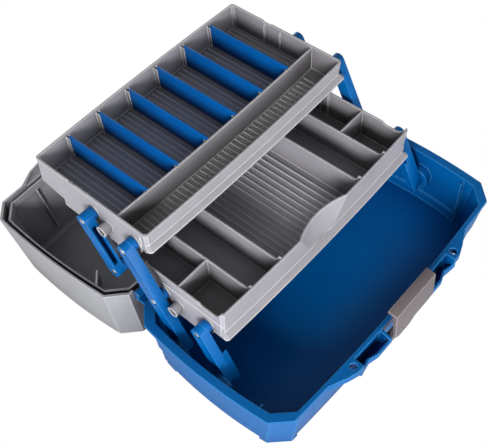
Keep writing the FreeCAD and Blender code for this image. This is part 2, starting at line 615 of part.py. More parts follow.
    # bores and notches
    wide = v.knuckle_length + v.knuckle_gap
    tools = [post("ear_bore", v.lock_hole_radius, v.lock_hole_place,
                  -(v.lock_hole_reach + v.hinge_y), skirt - v.overrun,
                  rim + v.ear_thick + v.overrun), ear_hollow,
             box("latch_flat_tool", 0, v.latch_half_length + v.notch_gap,
                 -(v.lid_front + v.lid_bow + v.overrun + v.hinge_y), -(v.latch_flat + v.hinge_y),
                 skirt - v.overrun, rim + v.ear_thick),
             rod("lid_bore", v.hinge_pin_radius + v.pin_clearance, v.knuckle_place - wide,
                 v.knuckle_place + wide, 0, 0)]
    for i, side in enumerate((-1, 1)):
        middle = v.knuckle_place + wide * side
        low = middle - v.knuckle_length / 2 - v.knuckle_gap
        high = middle + v.knuckle_length / 2 + v.knuckle_gap
        tools.append(rod("notch_%d" % i, v.knuckle_radius + v.notch_gap, low, high, 0, 0))
        tools.append(box("notch_tab_%d" % i, low, high, -(v.knuckle_radius + v.notch_gap),
                         v.overrun, skirt - v.overrun, v.tab_drop + v.tab_thick + v.notch_gap))
    cutters = join("lid_cutters", [both_sides("lid_tools", join("lid_tools_right", tools)), recess])
    # sockets for the handle's pins
    socket_y = v.handle_pin_y - v.hinge_y
    socket_z = roof - v.recess_depth + v.handle_gap + v.grip_thick / 2
    bosses = []
    sockets = []
    out = v.recess_half_length + edge
    bosses.append(box("socket_boss", v.recess_half_length, v.recess_half_length
                      + v.handle_pin_length, socket_y - v.grip_thick, socket_y + v.grip_thick,
                      roof - v.recess_depth - edge, roof + v.socket_raise))
    sockets.append(rod("socket", v.handle_pin_radius + v.pin_clearance,
                       v.recess_half_length - v.overrun, out + v.handle_pin_length / 2,
                       socket_y, socket_z))
    with_bosses = join("lid_with_sockets", [full, both_sides("socket_bosses", bosses[0])])
    whole = cut("lid_bored", cut("lid_cut", with_bosses, cutters),
                both_sides("sockets", sockets[0]))
    lid = keep("lid_shell", whole)
    swing_open(lid)
    return roof


def swing_open(item):
    """Carry a piece of the lid from shut to open."""
    turn(item, (1, 0, 0), -v.open_angle)
    place(item, 0, v.hinge_y, v.hinge_z)


def make_handle(roof):
    """A flat bail that folds into the roof's recess."""
    y = v.handle_pin_y - v.hinge_y
    low = roof - v.recess_depth + v.handle_gap
    top = low + v.grip_thick
    middle = low + v.grip_thick / 2
    half = v.recess_half_length - v.handle_gap
    far = y - v.grip_fold
    grip = box("grip", -half, half, far, far + v.grip_depth, low, top)
    arm = box("handle_arm", half - v.handle_arm_wide, half, far, y, low, top)
    eye = rod("handle_eye", v.grip_thick / 2, half - v.handle_arm_wide, half, y, middle)
    bail = join("bail", [grip, both_sides("handle_sides", join("handle_side", [arm, eye]))])
    hole = rod("handle_bore", v.handle_pin_radius + v.pin_clearance,
               half - v.handle_pin_length / 2, half + v.overrun, y, middle)
    handle = keep("carry_handle", cut("handle", bail, both_sides("handle_bores", hole)))
    swing_open(handle)
    stub = rod("handle_stub", v.handle_pin_radius, v.recess_half_length
               - v.handle_pin_length / 2, v.recess_half_length + v.handle_pin_length / 2, y,
               middle)
    stubs = keep("handle_pins", group("handle_stubs", [stub, mirrored("handle_stub_left", stub)]))
    swing_open(stubs)


def make_latch():
    """The latch, a hooked plate on a barrel."""
    y = v.latch_pin_y
    z = v.latch_pin_z
    wall = v.latch_wall
    top = z + v.latch_height
    tip = y + v.hook_reach
    face = [(y - v.latch_face_top, top), (y - v.latch_face_low, z + v.latch_knee),
            (y - v.latch_face_low + wall / 3, z - wall / 3), (y - wall / 3, z - v.latch_tail),
            (y, z - v.latch_tail + wall / 3), (y - v.latch_face_low + wall, z + wall),
            (y - v.latch_face_low + wall, z + v.latch_knee), (y - wall / 4, top - wall),
            (tip, top + v.hook_rise - wall), (tip, top + v.hook_rise)]
    plate = drawn("latch_plate", face, -v.latch_half_length, v.latch_half_length)
    barrel = rod("latch_barrel", v.barrel_radius, -v.latch_half_length, v.latch_half_length, y, z)
    hole = rod("latch_hole", v.latch_pin_radius + v.pin_clearance,
               -v.latch_half_length - v.overrun, v.latch_half_length + v.overrun, y, z)
    half = v.latch_half_length + v.overrun
    low = z - v.latch_tail - v.overrun
    edge = drawn_back("face_trim", [
        (half, low), (half, v.face_bottom + v.face_chamfer + v.overrun),
        (v.latch_half_length - v.face_chamfer, v.face_bottom),
        (v.thumb_right, v.face_bottom, -v.thumb_drop), (-v.thumb_left, v.face_bottom),
        (-half, v.face_bottom), (-half, low)],
        y - v.latch_face_low - v.overrun, y - v.barrel_radius)
    trimmed = cut("latch_trimmed", plate, edge)
    keep("latch", cut("latch_body", join("latch_solid", [trimmed, barrel]), hole))
    reach = v.latch_half_length + v.cheek_gap + v.cheek_thick
    keep("latch_pin", rod("latch_shaft", v.latch_pin_radius, -reach, reach, y, z))


def arm_blank(name, length, web_front=True):
    """A moulded arm along Z from a pivot at the origin: a channel with its web to one side."""
    r = v.arm_radius
    t = v.arm_wall
    x1 = v.arm_inside
    x2 = v.arm_outside
    solid = drawn(name + "_slab", [(-r, 0, None), (-r, length, r * 0.999), (r, length, None),
                                   (r, 0, r * 0.999)], x1, x2)
    if not web_front:
        return cut(name + "_channel", solid, box(name + "_hollow", x1 + t, x2 - t, -r * 2, r - t,
                                                 r * 1.2, length - r * 1.2))
    hollow = drawn(name + "_hollow", [(t - r, 0), (t - r, length), (t * 0.5 - r * 0.6, length
                                      + r * 0.5), (r * 0.4, length + r - t), (r * 3, length
                                      + r - t), (r * 3, t - r), (r * 0.4, t - r),
                                      (t * 0.5 - r * 0.6, -r * 0.5)], x1 + t, x2 - t)
    return cut(name + "_channel", solid, hollow)


def lean_back(item, y, z):
    turn(item, (1, 0, 0), -v.lean)
    place(item, 0, y, z)
    return item


def make_arms():
    """Long, front and rear arms, drawn upright and then leant back."""
    x1 = v.arm_inside
    x2 = v.arm_outside
    out = v.overrun

    def bored(name, blank, base_heights, tray_heights):
        """Holes at every pin; at a tray's pin also a hub inwards and a sink for the pin's head."""
        holes = []
        hubs = [blank]
        for i, h in enumerate(base_heights + tray_heights):
            holes.append(rod("%s_hole_%d" % (name, i), bore, v.hub_start - out, x2 + out, 0, h))
        for i, h in enumerate(tray_heights):
            hubs.append(rod("%s_hub_%d" % (name, i), v.arm_radius, v.hub_start, x1 + v.arm_wall,
                            0, h))
            holes.append(rod("%s_sink_%d" % (name, i), v.sink_radius, x2 - v.sink_depth, x2 + out,
                             0, h))
        return cut(name, join(name + "_full", hubs), join(name + "_holes", holes))

    long_arm = bored("long_arm", arm_blank("long", v.pitch * 2), [as_size(0)],
                     [v.pitch, v.pitch * 2])
    inner = x1 - v.foot_block_reach
    round_off = v.foot_block_round
    block = drawn_back("foot_block", [(inner, v.foot_block_top), (x1 + v.arm_wall, v.foot_block_top),
                                      (x1 + v.arm_wall, -v.foot_block_low),
                                      (inner + round_off, -v.foot_block_low),
                                      (inner, round_off - v.foot_block_low)],
                       -v.arm_radius, v.arm_wall - v.arm_radius)
    front_arm = bored("front_arm", join("front_blocked", [arm_blank("front", v.pitch), block]),
                      [as_size(0)], [v.pitch])
    rear_arm = bored("rear_arm", arm_blank("rear", v.pitch, False), [], [as_size(0), v.pitch])
    for arm, label, y, z in ((long_arm, "long_arm", v.long_pivot_y, v.pivot_z),
                             (front_arm, "front_arm", v.front_pivot_y, v.pivot_z),
                             (rear_arm, "rear_arm", low_rear_pin, low_pin_z)):
        keep(label + "_right", lean_back(arm, y, z))
        keep(label + "_left", mirrored(label + "_mirror", arm))


def make_pins():
    """Pins of the arms: in the base, in the lower tray and in the upper tray."""
    far = v.mouth_half_length - v.side_draft
    near = v.arm_inside - v.head_gap
    base_pins = []
    for name, y in (("long_base_pin", v.long_pivot_y), ("front_base_pin", v.front_pivot_y)):
        shaft = rod(name + "_shaft", v.pin_radius, near, far, y, v.pivot_z)
        head = rod(name + "_head", v.pin_head_radius, near - v.pin_head_height, near, y, v.pivot_z)
        one = join(name, [shaft, head])
        base_pins += [one, mirrored(name + "_left", one)]
    keep("base_pivot_pins", group("base_pins", base_pins))
    end = v.arm_outside - v.sink_depth + v.head_gap
    start = v.tray_half_length + v.pin_clearance
    for label, z, places in (("lower_tray_pins", low_pin_z, (low_front_pin, low_long_pin,
                                                             low_rear_pin)),
                             ("upper_tray_pins", up_pin_z, (up_long_pin, up_rear_pin))):
        pins = []
        for i, y in enumerate(places):
            one = pin("%s_%d" % (label, i), start, end, y, z, v.pin_head_height)
            pins += [one, mirrored("%s_%d_left" % (label, i), one)]
        keep(label, group(label + "_group", pins))


def tray_plan(name, level, front, inset, drop, fore, aft, lip=0):
    """A tray's outline: inset is inwards, drop is 0 at the rim and 1 at the floor."""
    half = v.tray_half_length - inset - v.tray_end_draft * drop + v.lip_end_reach * lip
    return outline(name, level, half, front + inset + v.tray_front_draft * drop - v.lip_reach
                   * lip, front + v.tray_depth - inset - v.tray_rear_draft * drop,
                   v.tray_corner, v.tray_corner, None, fore, aft)


def tray_body(name, front, rim, height, fore, aft, lip_drop):
    """A tray's outside, with the flared lip along its front, and the hollow inside it."""
    floor = rim - height
    share = (lip_drop - v.lip_rise - v.lip_edge) / height
    outside = stack(name + "_outside", [tray_plan(name + "_low", floor, front, 0, 1, fore, aft),
                                        tray_plan(name + "_rim", rim, front, 0, 0, fore, aft)])
    lip_low = rim - lip_drop
    lip_high = lip_low + v.lip_edge + v.lip_rise
    lip = stack(name + "_lip", [tray_plan(name + "_lip_low", lip_low, front, 0, 0, fore, aft, 1),
                                tray_plan(name + "_lip_mid", lip_low + v.lip_edge, front, 0, 0,
                                          fore, aft, 1),
                                tray_plan(name + "_lip_top", lip_high, front, 0, share, fore,
                                          aft)])
    rear_cut = box(name + "_lip_trim", -v.tray_half_length * 2, v.tray_half_length * 2,
                   front + v.tray_depth / 2, front + v.tray_depth * 2, lip_low - v.overrun,
                   lip_high + v.overrun)
    lip = cut(name + "_lip_front", lip, rear_cut)
    inner_share = as_size(1) - v.tray_wall / height
    hollow = stack(name + "_hollow", [
        tray_plan(name + "_in_low", floor + v.tray_wall, front, v.tray_wall, inner_share,
                  fore, aft),
        tray_plan(name + "_in_rim", rim, front, v.tray_wall, 0, fore, aft),
        tray_plan(name + "_in_top", rim + v.overrun, front, v.tray_wall, 0, fore, aft)])
    return outside, lip, hollow


def skirts(name, edge, top, low, pin_z, pins, knob_y, knob_z):
    """Flared skirts, pin bosses and stop knobs at a tray's two ends. edge is the skirt's outline."""
    wall = v.tray_half_length - v.tray_end_draft
    out = v.tray_half_length + v.skirt_reach
    boss_face = v.hub_start - v.boss_gap
    slab = drawn_back(name + "_slab", [(wall - v.tray_wall / 2, top), (v.tray_half_length, top),
                                       (out, low), (out - v.skirt_wall, low)],
                      edge[0][0], edge[-1][0])
    plate = common(name + "_plate", slab, drawn(name + "_edge", edge, wall - v.tray_wall, out))
    knob = cut(name + "_knob", rod(name + "_knob_full", v.knob_radius, wall - v.tray_wall / 3,
                                   v.knob_end, knob_y, knob_z),
               rod(name + "_knob_hollow", v.knob_radius - v.knob_wall, v.knob_end - v.knob_deep,
                   v.knob_end + v.overrun, knob_y, knob_z))
    pieces = [plate, knob]
    for i, y in enumerate(pins):
        pieces.append(rod("%s_boss_%d" % (name, i), v.tray_boss_radius,
                          wall - v.tray_wall / 2, boss_face, y, pin_z))
    return both_sides(name + "_both", join(name + "_right", pieces))


def tray_bores(name, pins, pin_z):
    """Blind holes for a tray's pins, in its bosses."""
    rods = [rod("%s_bore_%d" % (name, i), bore, v.tray_half_length, v.arm_inside, y, pin_z)
            for i, y in enumerate(pins)]
    return both_sides(name + "_bores", join(name + "_bores_right", rods))


def end_ribs(name, floor, top, places):
    """Upright ribs inside a tray's end walls."""
    ribs = []
    for i, y in enumerate(places):
        rib = box("%s_end_rib_%d" % (name, i), v.tray_half_length - v.tray_wall - v.tray_end_draft
                  - v.end_rib_out, v.tray_half_length - v.tray_end_draft, y,
                  y + v.end_rib_wide, floor - v.tray_wall / 2, top)
        ribs += [rib, mirrored("%s_end_rib_%d_left" % (name, i), rib)]
    return ribs


def make_upper_tray():
    """Upper tray: a ribbed trough in front of a row split by six loose dividers."""
    front = up_long_pin - v.upper_front_to_pin
    rim = up_pin_z + v.upper_pin_drop
    outside, lip, hollow = tray_body("upper", front, rim, v.upper_height, v.upper_front_bow,
                                     v.upper_rear_bow, v.upper_lip_drop)
    top = rim - v.upper_skirt_top
    low = rim - v.upper_skirt_drop
    start = front + v.upper_skirt_start
    jog = front + v.upper_jog_place
    end = front + v.upper_skirt_end
    edge = [(start, top), (start, rim - v.upper_skirt_shallow), (start + v.upper_skirt_lead, low),
            (jog, low), (jog, low + v.upper_skirt_jog), (end, rim - v.upper_skirt_rear_drop),
            (end, top)]
    sides = skirts("upper_skirt", edge, top, low, up_pin_z, (up_long_pin, up_rear_pin),
                   up_rear_pin - v.knob_forward, up_pin_z - v.knob_below)
    floor = rim - v.upper_height + v.tray_wall
    shell = cut("upper_shell", join("upper_solid", [outside, lip, sides]), hollow)
    # long fixed divider
    place_y = front + v.long_divider_place
    half = v.tray_half_length
    bow = v.long_divider_bow
    wall_plan = sketch("long_divider_plan", [(-half, place_y, bow), (half, place_y, None),
                                             (half, place_y + v.tray_wall, -bow),
                                             (-half, place_y + v.tray_wall, None)],
                       "XY", floor - v.tray_wall / 2)
    long_wall = common("long_divider", raised("long_divider_block", wall_plan,
                                              rim - v.long_divider_drop - floor
                                              + v.tray_wall / 2), outside)
    # guides that hold the loose dividers
    guides = []
    back = front + v.tray_depth
    top = rim - v.long_divider_drop
    for i, share in enumerate(DIVIDER_SHARES):
        x = v.divider_pitch * share
        for j, side in enumerate((-1, 1)):
            gap = v.divider_thick / 2 + v.divider_gap
            x1 = x + gap if side > 0 else x - gap - v.guide_wide
            guides.append(box("guide_front_%d_%d" % (i, j), x1, x1 + v.guide_wide,
                              place_y, place_y + v.tray_wall + v.guide_out, floor, top - v.overrun))
            guides.append(box("guide_rear_%d_%d" % (i, j), x1, x1 + v.guide_wide,
                              back - v.tray_rear_draft - v.tray_wall - v.guide_out,
                              back + v.tray_wall, floor, top - v.overrun))
    held = common("guides", join("guide_blocks", guides), outside)
    # ribs on the trough's floor, and finer ones on the floor of each cell
    ribs = end_ribs("upper", floor, rim - v.long_divider_drop * 2, (v.upper_end_rib,
                                                                  v.upper_end_rib_front))
    for i in range(-3, 4):
        for j in range(-2, 3):
            x = v.divider_pitch * i + v.rib_pitch * j
            ribs.append(box("cell_rib_%d_%d" % (i + 3, j + 2), x - v.fine_rib_wide / 2,
                            x + v.fine_rib_wide / 2, place_y + v.tray_wall * 2,
                            back - v.tray_rear_draft - v.tray_wall * 1.5, floor - v.tray_wall / 2,
                            floor + v.fine_rib_height))
    notch = both_sides("rim_notches", box("rim_notch", v.tray_half_length - v.tray_wall * 1.5,
                                          v.tray_half_length + v.tray_wall, v.rim_notch_front,
                                          v.rim_notch_rear, rim - v.rim_notch_depth,
                                          rim + v.overrun))
    count = 19
    for i in range(-count, count + 1):
        x = v.rib_pitch * i
        ribs.append(box("trough_rib_%d" % (i + count), x - v.rib_wide / 2, x + v.rib_wide / 2,
                        front + v.tray_front_draft + v.tray_wall * 2, place_y - v.overrun * 2,
                        floor - v.tray_wall / 2, floor + v.rib_height))
    keep("upper_tray", cut("upper", join("upper_full", [shell, long_wall, held] + ribs),
                           join("upper_tools", [notch, tray_bores("upper", (up_long_pin, up_rear_pin),
                                                                  up_pin_z)])))
    for i, share in enumerate(DIVIDER_SHARES):
        x = v.divider_pitch * share
        # the long divider's bow, followed at this place
        swell = bow * (as_size(1) - (x * x) / (half * half))
        y1 = place_y - swell + v.tray_wall + v.divider_gap
        y2 = back - v.tray_wall - v.tray_rear_draft - v.divider_gap
        keep("divider_%d" % (i + 1), box("loose_divider_%d" % (i + 1), x - v.divider_thick / 2,
                                         x + v.divider_thick / 2, y1, y2,
                                         floor + v.divider_gap, rim - v.divider_drop))


def make_lower_tray():
    """Lower tray: seven fixed compartments and a finger scoop in the front wall."""
    front = low_front_pin - v.lower_front_to_pin
    rim = low_pin_z + v.lower_pin_drop
    outside, lip, hollow = tray_body("lower", front, rim, v.lower_height, v.lower_front_bow,
                                     v.lower_rear_bow, v.lower_lip_drop)
    top = rim - v.lower_skirt_top
    edge = [(front + v.lower_skirt_start, top),
            (front + v.lower_skirt_start, rim - v.lower_skirt_shallow),
            (front + v.lower_ear_start, rim - v.lower_skirt_shallow),
            (front + v.lower_ear_start + v.skirt_wall, rim - v.lower_ear_drop),
            (front + v.lower_ear_end, rim - v.lower_ear_drop),
            (front + v.lower_deep_place, rim - v.lower_deep_drop),
            (front + v.lower_deep_end, rim - v.lower_deep_drop),
            (front + v.lower_skirt_knee, rim - v.lower_skirt_drop),
            (front + v.lower_skirt_rise, rim - v.lower_skirt_drop),
            (front + v.lower_skirt_rear, rim - v.lower_skirt_rear_drop),
            (front + v.lower_skirt_end, rim - v.lower_skirt_rear_drop),
            (front + v.lower_skirt_end, top)]
    sides = skirts("lower_skirt", edge, top, rim - v.lower_deep_drop, low_pin_z,
                   (low_front_pin, low_long_pin, low_rear_pin),
                   low_long_pin - v.knob_forward, low_pin_z - v.knob_below)
    # the scoop is part of a round column in front of the tray
    half = v.scoop_half_length
    radius = (half * half + v.scoop_depth * v.scoop_depth) / (v.scoop_depth * 2)
    centre_y = front - v.lower_front_bow + v.scoop_depth - radius
    low = rim - v.lower_lip_drop + v.lip_edge + v.lip_rise
    column = doc.addObject("Part::Cone", "scoop_column")
    drop = rim + v.overrun - low
    bind(column, "Radius1", radius - v.lip_reach)
    bind(column, "Radius2", radius)
    bind(column, "Height", drop)
    place(column, 0, centre_y, low)
    backing = doc.addObject("Part::Cone", "scoop_backing")
    bind(backing, "Radius1", radius - v.lip_reach + v.tray_wall)
    bind(backing, "Radius2", radius + v.tray_wall)
    bind(backing, "Height", drop)
    place(backing, 0, centre_y, low)
    room = cut("lower_room", hollow, backing)
    shell = cut("lower_shell", cut("lower_scooped", join("lower_solid", [outside, lip, sides]),
                                   column), room)
    # fixed walls
    floor = rim - v.lower_height
    walls = []
    back = front + v.tray_depth
    for i, share in enumerate(COMPARTMENT_SHARES):
        x = v.divider_pitch * share
        walls.append(box("fixed_wall_%d" % i, x - v.tray_wall / 2, x + v.tray_wall / 2, front,
                         back, floor + v.tray_wall / 2, rim))
    for i, side in enumerate((-1, 1)):
        inner = v.divider_pitch * COMPARTMENT_SHARES[-1]
        x1 = inner if side > 0 else -v.tray_half_length
        x2 = v.tray_half_length if side > 0 else -inner
        walls.append(box("cross_wall_%d" % i, x1, x2, front + v.cross_place,
                         front + v.cross_place + v.tray_wall, floor + v.tray_wall / 2, rim))
    inside = common("lower_walls", join("lower_wall_blocks", walls), outside)
    ribs = end_ribs("lower", floor + v.tray_wall, rim - v.wall_drop - v.dip_drop,
                    (v.lower_end_rib, v.lower_end_rib_rear))
    for i in range(-7, 8):
        x = v.lower_rib_pitch * i
        ribs.append(box("floor_rib_%d" % (i + 7), x - v.rib_wide / 2, x + v.rib_wide / 2,
                        front + v.tray_front_draft + v.scoop_depth * 1.5,
                        back - v.tray_rear_draft - v.tray_wall * 1.5, floor + v.tray_wall / 2,
                        floor + v.tray_wall + v.rib_height))
    # every wall but the front one is lower, and an end wall dips near the front
    start = front + v.post_wide
    level = rim - v.wall_drop
    depth = v.wall_drop + v.dip_drop
    side = v.scoop_half_length + v.tray_wall * 2
    split = v.tray_half_length - v.tray_wall * 1.5
    trims = []
    for name, shares, x1, x2 in (("wall_dip", WALL_DIP_SHARES, side, split),
                                 ("end_dip", END_DIP_SHARES, split, v.tray_half_length * 2)):
        points = []
        for along, up in shares:
            points.append((start + v.dip_length * along, level - v.dip_drop + depth * up))
        points.append((back + v.overrun * 2, level))
        points.append((back + v.overrun * 2, rim + v.overrun))
        points.append((start, rim + v.overrun))
        trims.append(drawn(name, points, x1, x2))
    end_trim = join("end_trim", trims)
    mid_trim = box("mid_trim", -side, side, front + v.dip_length, back + v.overrun * 2, level,
                   rim + v.overrun)
    trim = join("wall_trim", [both_sides("end_trims", end_trim), mid_trim])
    bores = tray_bores("lower", (low_front_pin, low_long_pin, low_rear_pin), low_pin_z)
    keep("lower_tray", cut("lower", cut("lower_trimmed", join("lower_full", [shell, inside]
                                                              + ribs), trim), bores))


def make_hinge_pins():
    """Two steel pins through the hinge knuckles."""
    reach = v.knuckle_length * 1.5 + v.knuckle_gap
    one = rod("hinge_pin", v.hinge_pin_radius, v.knuckle_place - reach, v.knuckle_place + reach,
              v.hinge_y, v.hinge_z)
    keep("hinge_pins", group("hinge_pin_group", [one, mirrored("hinge_pin_left", one)]))


make_base()
make_handle(make_lid())
make_hinge_pins()
make_latch()
make_arms()
make_pins()
make_upper_tray()
make_lower_tray()
doc.recompute()

for item in doc.Objects:
    if "Invalid" in item.State or "Error" in item.State:
        raise RuntimeError("%s failed: %s" % (item.Name, item.State))
for item in nodes:
    shape = item.Shape
    if shape.isNull() or not shape.isValid():
        raise RuntimeError("%s is not a valid shape" % item.Label)
    print(item.Label, len(shape.Solids), round(shape.Volume), [round(q, 1) for q in (
        shape.BoundBox.XMin, shape.BoundBox.XMax, shape.BoundBox.YMin, shape.BoundBox.YMax,
        shape.BoundBox.ZMin, shape.BoundBox.ZMax)])
for item in nodes:
    item.Shape.exportStep("parts/%s.step" % item.Label)
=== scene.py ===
import math

import bpy
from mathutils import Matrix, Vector


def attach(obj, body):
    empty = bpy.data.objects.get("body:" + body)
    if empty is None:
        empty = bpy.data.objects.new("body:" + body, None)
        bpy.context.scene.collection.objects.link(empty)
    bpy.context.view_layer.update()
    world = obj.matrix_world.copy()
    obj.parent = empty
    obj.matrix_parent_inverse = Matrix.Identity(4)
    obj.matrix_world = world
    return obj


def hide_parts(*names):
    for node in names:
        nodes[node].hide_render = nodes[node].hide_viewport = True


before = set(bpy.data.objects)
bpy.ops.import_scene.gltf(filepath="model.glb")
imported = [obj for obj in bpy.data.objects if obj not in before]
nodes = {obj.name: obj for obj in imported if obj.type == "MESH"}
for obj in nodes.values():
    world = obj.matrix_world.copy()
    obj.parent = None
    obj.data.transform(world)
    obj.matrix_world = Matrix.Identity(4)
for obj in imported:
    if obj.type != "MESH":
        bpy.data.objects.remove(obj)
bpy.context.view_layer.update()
scene = bpy.context.scene
bpy.ops.object.select_all(action="DESELECT")

# ---- Camera
# The photograph was taken with a short telephoto, from high over the front left corner.
# Its lens and place were solved on the rims of the trays, the base and the lid.
MM = 0.001
PHOTO_WIDTH = 488
FOCAL_PIXELS = 836.245
SENSOR_MM = 36.0
CAMERA_MM = (-404.60, -300.80, 816.63)
CAMERA_TURN = (0.636343, 0.057235, -0.851601)

camera_data = bpy.data.cameras.new("camera")
camera_data.sensor_width = SENSOR_MM
camera_data.lens = FOCAL_PIXELS / PHOTO_WIDTH * SENSOR_MM
camera = bpy.data.objects.new("camera", camera_data)
camera.location = [v * MM for v in CAMERA_MM]
camera.rotation_euler = CAMERA_TURN
scene.collection.objects.link(camera)
scene.camera = camera


# ---- Studio
# A white sweep lit by three large soft boxes, the main one to the left of the object.
# The floor looks pure white to the camera and still takes the box's soft shadow.
def add_node(tree, kind, settings=None, links=None):
    """Add one node, set its properties or sockets, and link its inputs."""
    node = tree.nodes.new(kind)
    for name, value in (settings or {}).items():
        if isinstance(name, int) or name in node.inputs:
            node.inputs[name].default_value = value
        else:
            setattr(node, name, value)
    for name, source in (links or {}).items():
        tree.links.new(source, node.inputs[name])
    return node


def linear(code):
    """Turn an sRGB hex colour to the linear colour that a shader takes."""
    parts = [int(code[i:i + 2], 16) / 255 for i in (1, 3, 5)]
    return [p / 12.92 if p <= 0.04045 else ((p + 0.055) / 1.055) ** 2.4 for p in parts] + [1.0]


def blank_material(name):
    """Make a material with no nodes, and return it with its tree."""
    material = bpy.data.materials.new(name)
    material.use_nodes = True
    material.node_tree.nodes.clear()
    return material, material.node_tree


scene.view_settings.view_transform = "Standard"

ROOM_LIGHT = 0.22
world = bpy.data.worlds.new("studio")
scene.world = world
world.use_nodes = True
tree = world.node_tree
tree.nodes.clear()
path = add_node(tree, "ShaderNodeLightPath")
seen = add_node(tree, "ShaderNodeMath", {"operation": "MAXIMUM"},
                {0: path.outputs["Is Camera Ray"], 1: path.outputs["Is Transmission Ray"]})
strength = add_node(tree, "ShaderNodeMapRange", {"To Min": ROOM_LIGHT, "To Max": 1.0},
                    {"Value": seen.outputs[0]})
sky = add_node(tree, "ShaderNodeBackground", {"Color": (1, 1, 1, 1)},
               {"Strength": strength.outputs[0]})
add_node(tree, "ShaderNodeOutputWorld", None, {"Surface": sky.outputs[0]})

FLOOR_SIZE = 8.0
FLOOR_LEVEL = -1.2 * MM
PAPER_WHITE = 0.8
bpy.ops.mesh.primitive_plane_add(size=FLOOR_SIZE, location=(0, 0, FLOOR_LEVEL))
floor = bpy.context.object
floor.name = "floor"
paper, tree = blank_material("white_paper_sweep")
path = add_node(tree, "ShaderNodeLightPath")
matt = add_node(tree, "ShaderNodeBsdfDiffuse", {"Color": (PAPER_WHITE,) * 3 + (1,)})
glow = add_node(tree, "ShaderNodeEmission", {"Color": (1, 1, 1, 1), "Strength": 1.0})
shown = add_node(tree, "ShaderNodeMixShader", None, {
    0: path.outputs["Is Camera Ray"], 1: matt.outputs[0], 2: glow.outputs[0]})
add_node(tree, "ShaderNodeOutputMaterial", None, {"Surface": shown.outputs[0]})
floor.data.materials.append(paper)

# name, place in metres, size in metres, watts
SOFT_BOXES = (
    ("key_softbox", (-1.65, -0.72, 0.85), 0.6, 31),
    ("front_softbox", (0.05, -1.9, 0.42), 0.9, 17),
    ("back_softbox", (0.9, 1.7, 0.32), 0.9, 12),
)
LAMPS_AIM = Vector((0, 0.05, 0.08))
for name, place, size, watts in SOFT_BOXES:
    light = bpy.data.lights.new(name, "AREA")
    light.size = size
    light.energy = watts
    lamp = bpy.data.objects.new(name, light)
    lamp.location = place
    lamp.rotation_euler = (LAMPS_AIM - Vector(place)).to_track_quat("-Z", "Y").to_euler()
    scene.collection.objects.link(lamp)


# ---- Base
# The deep lower half of the box, one injection moulding in polypropylene.
# Its rim is a flat flange, and the tool's fine spark finish shows as a satin grain.
MASK_SAMPLES = 4
CORNER_STARTS, CORNER_FULL = 0.997, 0.91
HOLLOW_STARTS, HOLLOW_FULL, HOLLOW_MOST = 0.85, 0.2, 0.85
MELT_CLOUD_MM = 45
MELT_SHADE = 0.12
SHEEN_SPREAD = 0.07
SPARK_STRENGTH = 0.5
PLASTIC_IOR = 1.49
PLASTIC_SPECULAR = 0.24


def moulded_plastic(name, body, edge, hollow, roughness, grain, relief, softness, depth):
    """A moulded plastic: body, edge and hollow are colours, edge a painted highlight and hollow
    a painted shade; sizes in mm.
    """
    material, tree = blank_material(name)
    place = add_node(tree, "ShaderNodeTexCoord").outputs["Object"]
    # a painted highlight: a paler colour drawn along every moulded corner, where the rounded
    # normal turns from the flat one
    corner = add_node(tree, "ShaderNodeBevel",
                      {"samples": MASK_SAMPLES, "Radius": softness * MM})
    flat = add_node(tree, "ShaderNodeNewGeometry")
    turned = add_node(tree, "ShaderNodeVectorMath", {"operation": "DOT_PRODUCT"},
                      {0: corner.outputs[0], 1: flat.outputs["Normal"]})
    edge_highlight = add_node(tree, "ShaderNodeMapRange",
                    {"From Min": CORNER_STARTS, "From Max": CORNER_FULL},
                    {"Value": turned.outputs["Value"]})
    # painted shade: the deep hollows, found by ambient occlusion, are darkened towards the
    # hollow colour
    shut = add_node(tree, "ShaderNodeAmbientOcclusion",
                    {"samples": MASK_SAMPLES, "Distance": depth * MM})
    hollow_shade = add_node(tree, "ShaderNodeMapRange",
                     {"From Min": HOLLOW_STARTS, "From Max": HOLLOW_FULL, "To Max": HOLLOW_MOST},
                     {"Value": shut.outputs["AO"]})
    # faint clouds where the melt met, and the fine spark grain
    clouds = add_node(tree, "ShaderNodeTexNoise",
                      {"Scale": 1 / (MELT_CLOUD_MM * MM), "Detail": 3.0}, {"Vector": place})
    sparks = add_node(tree, "ShaderNodeTexNoise", {"Scale": 1 / (grain * MM), "Detail": 1.0},
                      {"Vector": place})
    dim = [c * (1 - MELT_SHADE) for c in linear(body)[:3]] + [1.0]
    lit = [min(1.0, c * (1 + MELT_SHADE)) for c in linear(body)[:3]] + [1.0]
    skin = add_node(tree, "ShaderNodeMix", {"data_type": "RGBA", 6: dim, 7: lit},
                    {0: clouds.outputs[0]})
    # the painted shade colour is mixed into the skin in the hollows
    deep = add_node(tree, "ShaderNodeMix", {"data_type": "RGBA", 7: linear(hollow)},
                    {0: hollow_shade.outputs[0], 6: skin.outputs[2]})
    # the painted highlight colour is laid over the skin along the corners
    colour = add_node(tree, "ShaderNodeMix", {"data_type": "RGBA", 7: linear(edge)},
                      {0: edge_highlight.outputs[0], 6: deep.outputs[2]})
    sheen = add_node(tree, "ShaderNodeMapRange",
                     {"To Min": roughness - SHEEN_SPREAD, "To Max": roughness + SHEEN_SPREAD},
                     {"Value": clouds.outputs[0]})
    bump = add_node(tree, "ShaderNodeBump",
                    {"Strength": SPARK_STRENGTH, "Distance": relief * MM},
                    {"Height": sparks.outputs[0], "Normal": corner.outputs[0]})
    shader = add_node(tree, "ShaderNodeBsdfPrincipled",
                      {"IOR": PLASTIC_IOR, "Specular IOR Level": PLASTIC_SPECULAR},
                      {"Base Color": colour.outputs[2], "Roughness": sheen.outputs[0],
                       "Normal": bump.outputs[0]})
    add_node(tree, "ShaderNodeOutputMaterial", None, {"Surface": shader.outputs[0]})
    return material


def dress(node, material):
    """Give a CAD piece its material."""
    nodes[node].data.materials.clear()
    nodes[node].data.materials.append(material)


